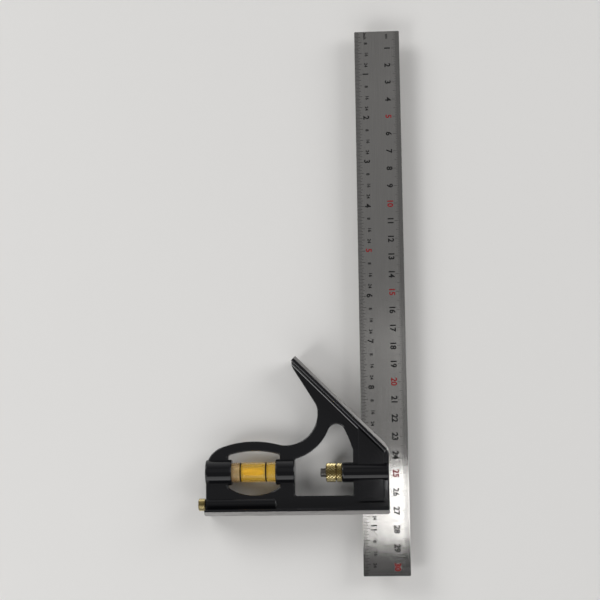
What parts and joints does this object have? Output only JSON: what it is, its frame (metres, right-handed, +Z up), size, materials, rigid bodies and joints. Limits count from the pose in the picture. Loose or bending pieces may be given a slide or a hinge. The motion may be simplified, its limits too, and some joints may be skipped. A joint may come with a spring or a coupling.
{
  "type": "combination square",
  "caption": "Combination square: flanged head with 90 and 45 degree faces, bubble vial and scriber, clamped to a grooved sliding steel rule by a knurled nut.",
  "frame": {"origin": "middle of the footprint of the tool lying flat, at the level of the surface it rests on", "axes": "+Y along the rule away from the head, +X along the 90 degree face towards the rule, +Z up out of the scale side"},
  "size_m": [0.1148, 0.3048, 0.019],
  "materials": {
    "black_enamel": "gloss black enamel on a zinc casting, working faces ground bare",
    "ground_zinc": "ground bare metal on the working faces",
    "rule_steel": "satin stainless steel, brushed along its length",
    "bolt_steel": "plain turned steel",
    "brass": "bright knurled brass",
    "spring_steel": "drawn spring wire",
    "vial_acrylic": "clear polished acrylic",
    "vial_liquid": "yellow-green liquid",
    "vial_air": "air bubble",
    "mark_black": "black paint filling in etched marks",
    "mark_red": "red paint filling in etched marks",
    "stopper_plastic": "pale moulded plastic",
    "cap_aluminium": "pressed sheet cup"
  },
  "bodies": {
    "head": {"head_casting": "black_enamel", "lock_spring": "spring_steel", "vial_tube": "vial_acrylic", "vial_stopper": "stopper_plastic", "vial_liquid": "vial_liquid", "vial_bubble": "vial_air", "vial_index_rings": "mark_black", "vial_end_cap": "cap_aluminium", "scriber_bushing": "spring_steel"},
    "rule": {"blade": "rule_steel"},
    "clamp_bolt": {"lock_bolt": "bolt_steel"},
    "clamp_nut": {"lock_nut": "brass"},
    "scriber": {"scriber_needle": "bolt_steel", "scriber_knob": "brass"}
  },
  "joints": [
    {"name": "blade_slide", "type": "slide", "parent": "head", "child": "rule", "axis": [0, 1, 0], "range_m": [-0.24, 0.05]},
    {"name": "nut_turn", "type": "hinge", "parent": "head", "child": "clamp_nut", "pos_m": [0.0168, -0.0966, 0.0095], "axis": [-1, 0, 0], "range_deg": [0, 540]},
    {"name": "lock_bolt_draw", "type": "slide", "parent": "head", "child": "clamp_bolt", "axis": [1, 0, 0], "range_m": [0, 0.0012]},
    {"name": "scriber_pull", "type": "slide", "parent": "head", "child": "scriber", "axis": [-1, 0, 0], "range_m": [0, 0.056]}
  ],
  "couplings": [
    {"joint": "lock_bolt_draw", "follows": "nut_turn", "m_per_rad": 0.00012732}
  ]
}
